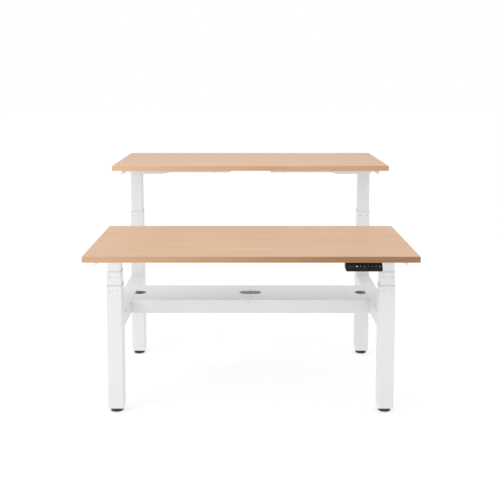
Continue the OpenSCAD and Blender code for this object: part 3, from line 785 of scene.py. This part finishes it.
def make_top_frame():
    heads = SOLIDS["front_column_heads"]
    arms = SOLIDS["front_side_arms"]
    sleeves = SOLIDS["front_crossbar_sleeves"]
    for index, side in enumerate(("left", "right")):
        mirror = 1 if side == "right" else -1
        make_head(side, heads[index], arms[index], mirror)
        make_arm(side, arms[index])
        low, high = sleeves[index]
        sleeve = block(f"front_{side}_crossbar_sleeve", low, high)
        round_edges(sleeve, lambda e: runs(e, X), 3 * MM, 5)
        open_through(sleeve, 2 * MM, X)
        put_on_both(smooth(soften(sleeve, 0.25 * MM)), "front_top", "white_steel", "white_steel",
                    "front_crossbar_sleeves")
    low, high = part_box("front_crossbar_rail")
    rail = block("front_crossbar_rail_tube", low, high)
    round_edges(rail, lambda e: runs(e, X), 2.5 * MM, 5)
    open_through(rail, 2 * MM, X)
    put_on_both(smooth(soften(rail, 0.25 * MM)), "front_top", "white_steel", "white_steel",
                "front_crossbar_rail")


def make_head(side, corners, arm, mirror):
    """Folded bracket that takes the column, the side arm and the crossbar sleeve."""
    low, high = corners
    head = block(f"front_{side}_column_head", low, high)
    outer_x = high.x if mirror > 0 else low.x
    inner_x = low.x if mirror > 0 else high.x
    # The underside rises a little toward the crossbar
    edit(head)
    bpy.ops.mesh.select_all(action="SELECT")
    bpy.ops.mesh.bisect(plane_co=(inner_x + mirror * 30 * MM, 0, 0), plane_no=(1, 0, 0))
    pick("VERT", lambda v: near(v.co.x, inner_x) and near(v.co.z, low.z))
    bpy.ops.transform.translate(value=(0, 0, 5 * MM))
    done()
    round_edges(head, lambda e: runs(e, Y) and near(middle(e).x, outer_x) and near(middle(e).z, low.z),
                14 * MM, 1)
    arm_x = arm[0].x if mirror > 0 else arm[1].x
    past = 10 * MM
    notch = block("notch", (min(arm_x, outer_x + mirror * past), low.y - past, arm[0].z),
                  (max(arm_x, outer_x + mirror * past), high.y + past, high.z + past))
    edit(notch)
    bpy.ops.mesh.select_all(action="SELECT")
    bpy.ops.mesh.bisect(plane_co=(outer_x - mirror * 4 * MM, 0, 0), plane_no=(1, 0, 0))
    pick("VERT", lambda v: near(v.co.x, arm_x) and near(v.co.z, arm[0].z))
    bpy.ops.transform.translate(value=(0, 0, arm[1].z - arm[0].z - 5 * MM))
    done()
    cut(head, notch)
    round_edges(head, lambda e: runs(e, X) and near(middle(e).z, low.z), 2.5 * MM, 4)
    edit(head)
    pick("FACE", lambda f: near(f.calc_center_median().x, inner_x, 1e-4))
    bpy.ops.mesh.inset(thickness=2 * MM, use_even_offset=True)
    bpy.ops.mesh.extrude_region_move(TRANSFORM_OT_translate={"value": (mirror * 40 * MM, 0, 0)})
    done()
    put_on_both(smooth(soften(head, 0.5 * MM)), "front_top", "white_steel", "white_steel",
                "front_column_heads")


def make_arm(side, corners):
    """Folded arm along the end of the top, deepest at its outer side, with a moulded plug at each tip."""
    low, high = corners
    plug_t, inset = 2 * MM, 0.2 * MM
    outer_x, inner_x = (high.x, low.x) if side == "right" else (low.x, high.x)

    def wedge(name, corner, far, radius):
        """Bar whose underside slopes up from its outer side to its inner side."""
        bar = block(name, corner, far)
        edit(bar)
        bpy.ops.mesh.select_all(action="SELECT")
        bpy.ops.mesh.bisect(plane_co=(outer_x + (inner_x - outer_x) * 0.1, 0, 0), plane_no=(1, 0, 0))
        pick("VERT", lambda v: near(v.co.x, inner_x, 1 * MM) and v.co.z < mid(corners).z)
        bpy.ops.transform.translate(value=(0, 0, high.z - low.z - 5 * MM))
        done()
        return round_edges(bar, lambda e: runs(e, Y) and e.calc_face_angle(0) > 0.3, radius, 4)

    arm = wedge(f"front_{side}_side_arm", (low.x, low.y + plug_t, low.z),
                (high.x, high.y - plug_t, high.z), 1.5 * MM)
    # Access holes under the screws that hold this arm
    hole_r, hole_h = 6.5 * MM, 2 * (high.z - low.z) - 6 * MM
    for spot in map(mid, SOLIDS["front_screws"]):
        if low.x < spot.x < high.x and low.y < spot.y < high.y:
            cut(arm, rod("access", (spot.x, spot.y, low.z - 1 * MM), hole_r, hole_h, 32))
    put_on_both(smooth(soften(arm, 0.25 * MM)), "front_top", "white_steel", "white_steel",
                "front_side_arms")
    for tip, y_low in (("front", low.y), ("rear", high.y - plug_t)):
        plug = wedge(f"front_{side}_arm_{tip}_plug", (low.x + inset, y_low, low.z + inset),
                     (high.x - inset, y_low + plug_t, high.z - inset), 1.4 * MM)
        put_on_both(smooth(soften(plug, 0.5 * MM)), "front_top", "white_plastic", "white_plastic",
                    "front_side_arms")


def make_desk_screws():
    """Wood screws that hold the frame to the underside of the top."""
    shank_r = 2.1 * MM
    for number, corners in enumerate(SOLIDS["front_screws"]):
        low, high = corners
        wide = (high.x - low.x) / 2
        head_h = 2.4 * MM
        spot = Vector((mid(corners).x, mid(corners).y, low.z + head_h / 2 + 0.3 * MM))
        head = screw_head("head", spot, wide * 0.96, head_h, Z, -1)
        shank_h = high.z - low.z - head_h
        shank = rod("shank", (spot.x, spot.y, (low.z + head_h + high.z) / 2), shank_r, shank_h, 24)
        screw = joined(f"front_screw_{number + 1}", head, soften(shank, 0.3 * MM))
        put_on_both(smooth(screw), "front_top", "screw_steel", "screw_steel", "front_screws")


# ---- Handset and control box ----

def press_direction():
    """The direction in which the handset's buttons travel, straight into its face."""
    press = next(j for j in frame["joints"] if j["name"] == "front_down_press")
    return Vector(press["axis"]).normalized()


def on_face(piece, spot, tilt):
    """Leans a piece that was built flat, its face up, onto the handset's face."""
    piece.rotation_euler = (tilt, 0, 0)
    piece.location = spot
    return settle(piece)


def make_handset():
    """Control panel under the top's front edge: shell, buttons with their marks, window and lamp."""
    low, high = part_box("front_handset")
    inward = press_direction()
    tilt = math.atan2(inward.y, -inward.z)
    face_lean = 28 * MM
    lip = 4 * MM
    shell = block("front_handset_shell", low, high)
    edit(shell)
    bpy.ops.mesh.select_all(action="SELECT")
    bpy.ops.mesh.bisect(plane_co=(0, 0, low.z + lip), plane_no=(0, 0, 1))
    bpy.ops.mesh.select_all(action="SELECT")
    bpy.ops.mesh.bisect(plane_co=(0, low.y + face_lean, 0), plane_no=(0, 1, 0))
    pick("VERT", lambda v: near(v.co.z, high.z) and near(v.co.y, low.y))
    bpy.ops.transform.translate(value=(0, face_lean - 0.01 * MM, 0))
    pick("VERT", lambda v: near(v.co.z, low.z) and near(v.co.y, high.y))
    bpy.ops.transform.translate(value=(0, 0, 17 * MM))
    bpy.ops.mesh.select_all(action="SELECT")
    bpy.ops.mesh.remove_doubles(threshold=0.05 * MM)
    done()
    corner_r, past = 8 * MM, 1 * MM
    corner = block("corner", (high.x - corner_r, low.y - past, low.z - past),
                   (high.x + past, high.y + past, low.z + corner_r))
    cut(corner, rod("corner_round", (high.x - corner_r, mid((low, high)).y, low.z + corner_r), corner_r,
                    2 * (high.y - low.y), 64, Y))
    cut(shell, corner)
    round_edges(shell, lambda e: e.calc_length() < 30 * MM and not runs(e, X) and near(middle(e).x, low.x)
                and near(max(v.co.z for v in e.verts), low.z), 3 * MM, 5)
    soften(shell, 1.1 * MM, 3, 20)

    keys = {name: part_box(f"front_{name}_button") for name in BUTTONS}
    proud = 0.5 * MM
    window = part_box("front_display")
    sockets = []
    face_top = Vector((0, low.y + face_lean, high.z))

    def foot_on_face(point):
        """The point's own place on the handset's face plane."""
        return point - inward * (point - face_top).dot(inward)

    for name, corners in keys.items():
        tool = make_key_block("socket", 9.6 * MM, 13.6 * MM, 2.2 * MM)
        sockets.append(on_face(tool, foot_on_face(mid(corners)), tilt))
    glass = mid(window)
    tool = block("window_tool", (-13.4 * MM, -7.4 * MM, -1.3 * MM), (13.4 * MM, 7.4 * MM, 1.3 * MM))
    sockets.append(on_face(round_edges(tool, lambda e: runs(e, Z), 1.5 * MM, 4), foot_on_face(glass), tilt))
    lamp_spot = foot_on_face(Vector((mid(keys["down"]).x - 15.5 * MM, glass.y, glass.z)))
    lamp_tool = rod("lamp_tool", (0, 0, 0), 1.6 * MM, 2 * MM, 24)
    sockets.append(on_face(lamp_tool, lamp_spot, tilt))
    cut(shell, *sockets)
    put_on_both(smooth(shell), "front_top", "black_plastic", "black_plastic", "front_handset")

    for name, corners in keys.items():
        key = make_key_block(f"front_{name}_button_cap", 9 * MM, 13 * MM, 4 * MM)
        edit(key)
        pick("FACE", lambda f: f.normal.z > 0.999)
        bpy.ops.mesh.inset(thickness=1.6 * MM)
        bpy.ops.transform.translate(value=(0, 0, -0.35 * MM))
        done()
        top = foot_on_face(mid(corners)) - inward * proud
        on_face(soften(key, 0.35 * MM, 3), top + inward * 2 * MM, tilt)
        put_on_both(smooth(key), f"front_{name}_button", "button_rubber", "black_plastic",
                    f"front_{name}_button")
        mark = make_mark(name)
        on_face(mark, top + inward * 0.30 * MM, tilt)
        put_on_both(mark, f"front_{name}_button", "mark_white", "black_plastic")

    pane = block("front_display_window", (-13 * MM, -7 * MM, -0.9 * MM), (13 * MM, 7 * MM, 0))
    round_edges(pane, lambda e: runs(e, Z), 1.3 * MM, 4)
    on_face(soften(pane, 0.2 * MM), foot_on_face(glass) + inward * 0.15 * MM, tilt)
    put_on_both(smooth(pane), "front_top", "display_black", "display_black", "front_display")
    lamp = rod("front_status_lamp", (0, 0, 0), 1.3 * MM, 1.2 * MM, 24)
    edit(lamp)
    pick("FACE", lambda f: f.normal.z > 0.999)
    bpy.ops.mesh.inset(thickness=0.5 * MM)
    bpy.ops.transform.translate(value=(0, 0, 0.2 * MM))
    done()
    on_face(soften(lamp, 0.15 * MM), lamp_spot + inward * 0.6 * MM, tilt)
    put_on_both(smooth(lamp), "front_top", "lamp", "display_black")


def make_key_block(name, width, height, depth):
    """Upright block of a push button's outline, with its face up at the middle of its depth."""
    key = block(name, (-width / 2, -height / 2, -depth / 2), (width / 2, height / 2, depth / 2))
    return round_edges(key, lambda e: runs(e, Z), 4 * MM, 8)


def make_mark(name):
    """Raised print on a button: a chevron, a numeral or a ring with a dot."""
    thick = 0.08 * MM
    if name in ("down", "up"):
        deselect()
        bpy.ops.mesh.primitive_plane_add(size=5.2 * MM)
        mark = bpy.context.object
        edit(mark)
        pick("VERT", lambda v: v.co.y > 0)
        bpy.ops.mesh.merge(type="CENTER")
        bpy.ops.mesh.select_all(action="SELECT")
        bpy.ops.transform.resize(value=(1, 1.15, 1))
        if name == "down":
            bpy.ops.transform.rotate(value=math.pi, orient_axis="Z", center_override=(0, 0, 0))
        done()
    elif name == "store":
        deselect()
        bpy.ops.mesh.primitive_circle_add(vertices=32, radius=2.8 * MM, fill_type="NGON")
        mark = bpy.context.object
        edit(mark)
        bpy.ops.mesh.select_all(action="SELECT")
        bpy.ops.mesh.inset(thickness=0.7 * MM)
        bpy.ops.mesh.inset(thickness=0.9 * MM)
        pick("FACE", lambda f: len(f.verts) == 4 and 1.3 * MM < f.calc_center_median().length < 2.1 * MM)
        bpy.ops.mesh.delete(type="FACE")
        done()
    else:
        deselect()
        bpy.ops.object.text_add()
        mark = bpy.context.object
        mark.data.body = name[-1]
        mark.data.size = 8.2 * MM
        mark.data.align_x, mark.data.align_y = "CENTER", "CENTER"
        mark.data.offset = 0.12 * MM
        bpy.ops.object.convert(target="MESH")
        mark = bpy.context.object
    mark.name = mark.data.name = f"front_{name}_button_mark"
    grasp(mark)
    bpy.ops.object.modifier_add(type="SOLIDIFY")
    mark.modifiers[-1].thickness = thick
    mark.modifiers[-1].offset = 0
    bpy.ops.object.modifier_apply(modifier=mark.modifiers[-1].name)
    return mark


def make_control_box():
    """Housing under the top with a joint line, sockets at its back, vents at its front and two lugs."""
    low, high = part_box("front_control_box")
    ear, ear_t = 12 * MM, 3 * MM
    core = (Vector((low.x + ear, low.y, low.z)), Vector((high.x - ear, high.y, high.z)))
    housing = block("front_control_box_housing", *core)
    round_edges(housing, lambda e: runs(e, Z), 6 * MM, 6)
    round_edges(housing, lambda e: near(middle(e).z, low.z) and e.calc_face_angle(0) > 1.2, 2.5 * MM, 4)
    # Joint line between the housing and its lid
    line_z = high.z - 10 * MM
    edit(housing)
    for offset in (-0.4 * MM, 0.4 * MM):
        bpy.ops.mesh.select_all(action="SELECT")
        bpy.ops.mesh.bisect(plane_co=(0, 0, line_z + offset), plane_no=(0, 0, 1))
    pick("FACE", lambda f: near(f.calc_center_median().z, line_z, 0.1 * MM) and abs(f.normal.z) < 0.1)
    bpy.ops.mesh.inset(thickness=0, depth=-0.6 * MM, use_even_offset=True)
    done()
    tools = []
    past = 5 * MM
    sockets, first_socket, socket_pitch, socket_w, socket_deep = 4, 45 * MM, 42 * MM, 22 * MM, 6 * MM
    for number in range(sockets):
        x = core[0].x + first_socket + socket_pitch * number
        tools.append(block("socket_tool", (x, high.y - socket_deep, low.z + 7 * MM),
                           (x + socket_w, high.y + past, low.z + 19 * MM)))
    vents, first_vent, vent_pitch, vent_w, vent_deep = 12, 50 * MM, 12 * MM, 5 * MM, 1.2 * MM
    for number in range(vents):
        x = core[0].x + first_vent + vent_pitch * number
        tools.append(block("vent_tool", (x, low.y - past, low.z + 8 * MM),
                           (x + vent_w, low.y + vent_deep, low.z + 18 * MM)))
    cut(housing, *tools)
    half_w, overlap = 25 * MM, 3 * MM
    for side in (-1, 1):
        edge = high.x if side > 0 else low.x
        root = edge - side * (ear + overlap)
        lug = block("lug", (min(edge, root), mid(core).y - half_w, high.z - ear_t),
                    (max(edge, root), mid(core).y + half_w, high.z))
        round_edges(lug, lambda e: runs(e, Z) and near(middle(e).x, edge), 5 * MM, 6)
        cut(housing, lug, join=True)
    soften(housing, 0.4 * MM, 2, 40)
    put_on_both(smooth(housing), "front_top", "box_plastic", "box_plastic", "front_control_box")


# ---- Pieces that stay as they are in the frame ----

def finish_cad_nodes():
    """Gives each CAD node that still shows its procedural finish."""
    slots = {part["node"]: part["material_slot"] for part in frame["record"]["subparts"]}
    for name, node in frame["nodes"].items():
        node.data.materials.clear()
        node.data.materials.append(FINISHES[slots[name]])


make_desktop()
make_columns()
make_feet()
make_base()
make_top_frame()
make_desk_screws()
make_handset()
make_control_box()
finish_cad_nodes()


# ---- Floor and light ----

FLOOR_SIZE, FLOOR_DROP = 60, 0.2 * MM
AIM = (0, 0, 0.5)
SKY_LIGHT, SKY_SEEN = 0.84, 1.0


def make_stage():
    """Pale floor that runs on to the horizon."""
    deselect()
    bpy.ops.mesh.primitive_plane_add(size=FLOOR_SIZE, location=(0, 0, -FLOOR_DROP))
    floor = bpy.context.object
    floor.name = floor.data.name = "floor"
    settle(floor)
    finish = Finish("pale floor", Emission_Strength=0.50)
    mottle = finish.noise(finish.place(), 1.5, 3.0)
    finish.set("Base Color", finish.mix(mottle, (0.59, 0.59, 0.59), (0.61, 0.61, 0.61)))
    finish.set("Roughness", finish.fit(mottle, 0, 1, 0.85, 0.95))
    finish.shader.inputs["Emission Color"].default_value = (1, 1, 1, 1)
    floor.data.materials.append(finish.material)


def soft_light(name, place, size, power):
    """Square lamp that faces the middle of the desk."""
    lamp = bpy.data.lights.new(name, "AREA")
    lamp.shape, lamp.size, lamp.energy = "SQUARE", size, power
    lamp_object = bpy.data.objects.new(name, lamp)
    lamp_object.location = place
    lamp_object.rotation_euler = (Vector(AIM) - Vector(place)).to_track_quat("-Z", "Y").to_euler()
    bpy.context.scene.collection.objects.link(lamp_object)


make_stage()
soft_light("key", place=(-4.0, -3.0, 2.6), size=2.6, power=50)
soft_light("top", place=(-0.6, -0.6, 4.2), size=2.0, power=30)
world = bpy.data.worlds.new("studio")
world.use_nodes = True
sky = world.node_tree.nodes["Background"]
sky.inputs["Color"].default_value = (1, 1, 1, 1)
seen = world.node_tree.nodes.new("ShaderNodeLightPath")
level = world.node_tree.nodes.new("ShaderNodeMapRange")
level.inputs["To Min"].default_value, level.inputs["To Max"].default_value = SKY_LIGHT, SKY_SEEN
world.node_tree.links.new(seen.outputs["Is Camera Ray"], level.inputs["Value"])
world.node_tree.links.new(level.outputs["Result"], sky.inputs["Strength"])
bpy.context.scene.world = world
bpy.context.scene.view_settings.view_transform = "Standard"

bpy.context.view_layer.update()
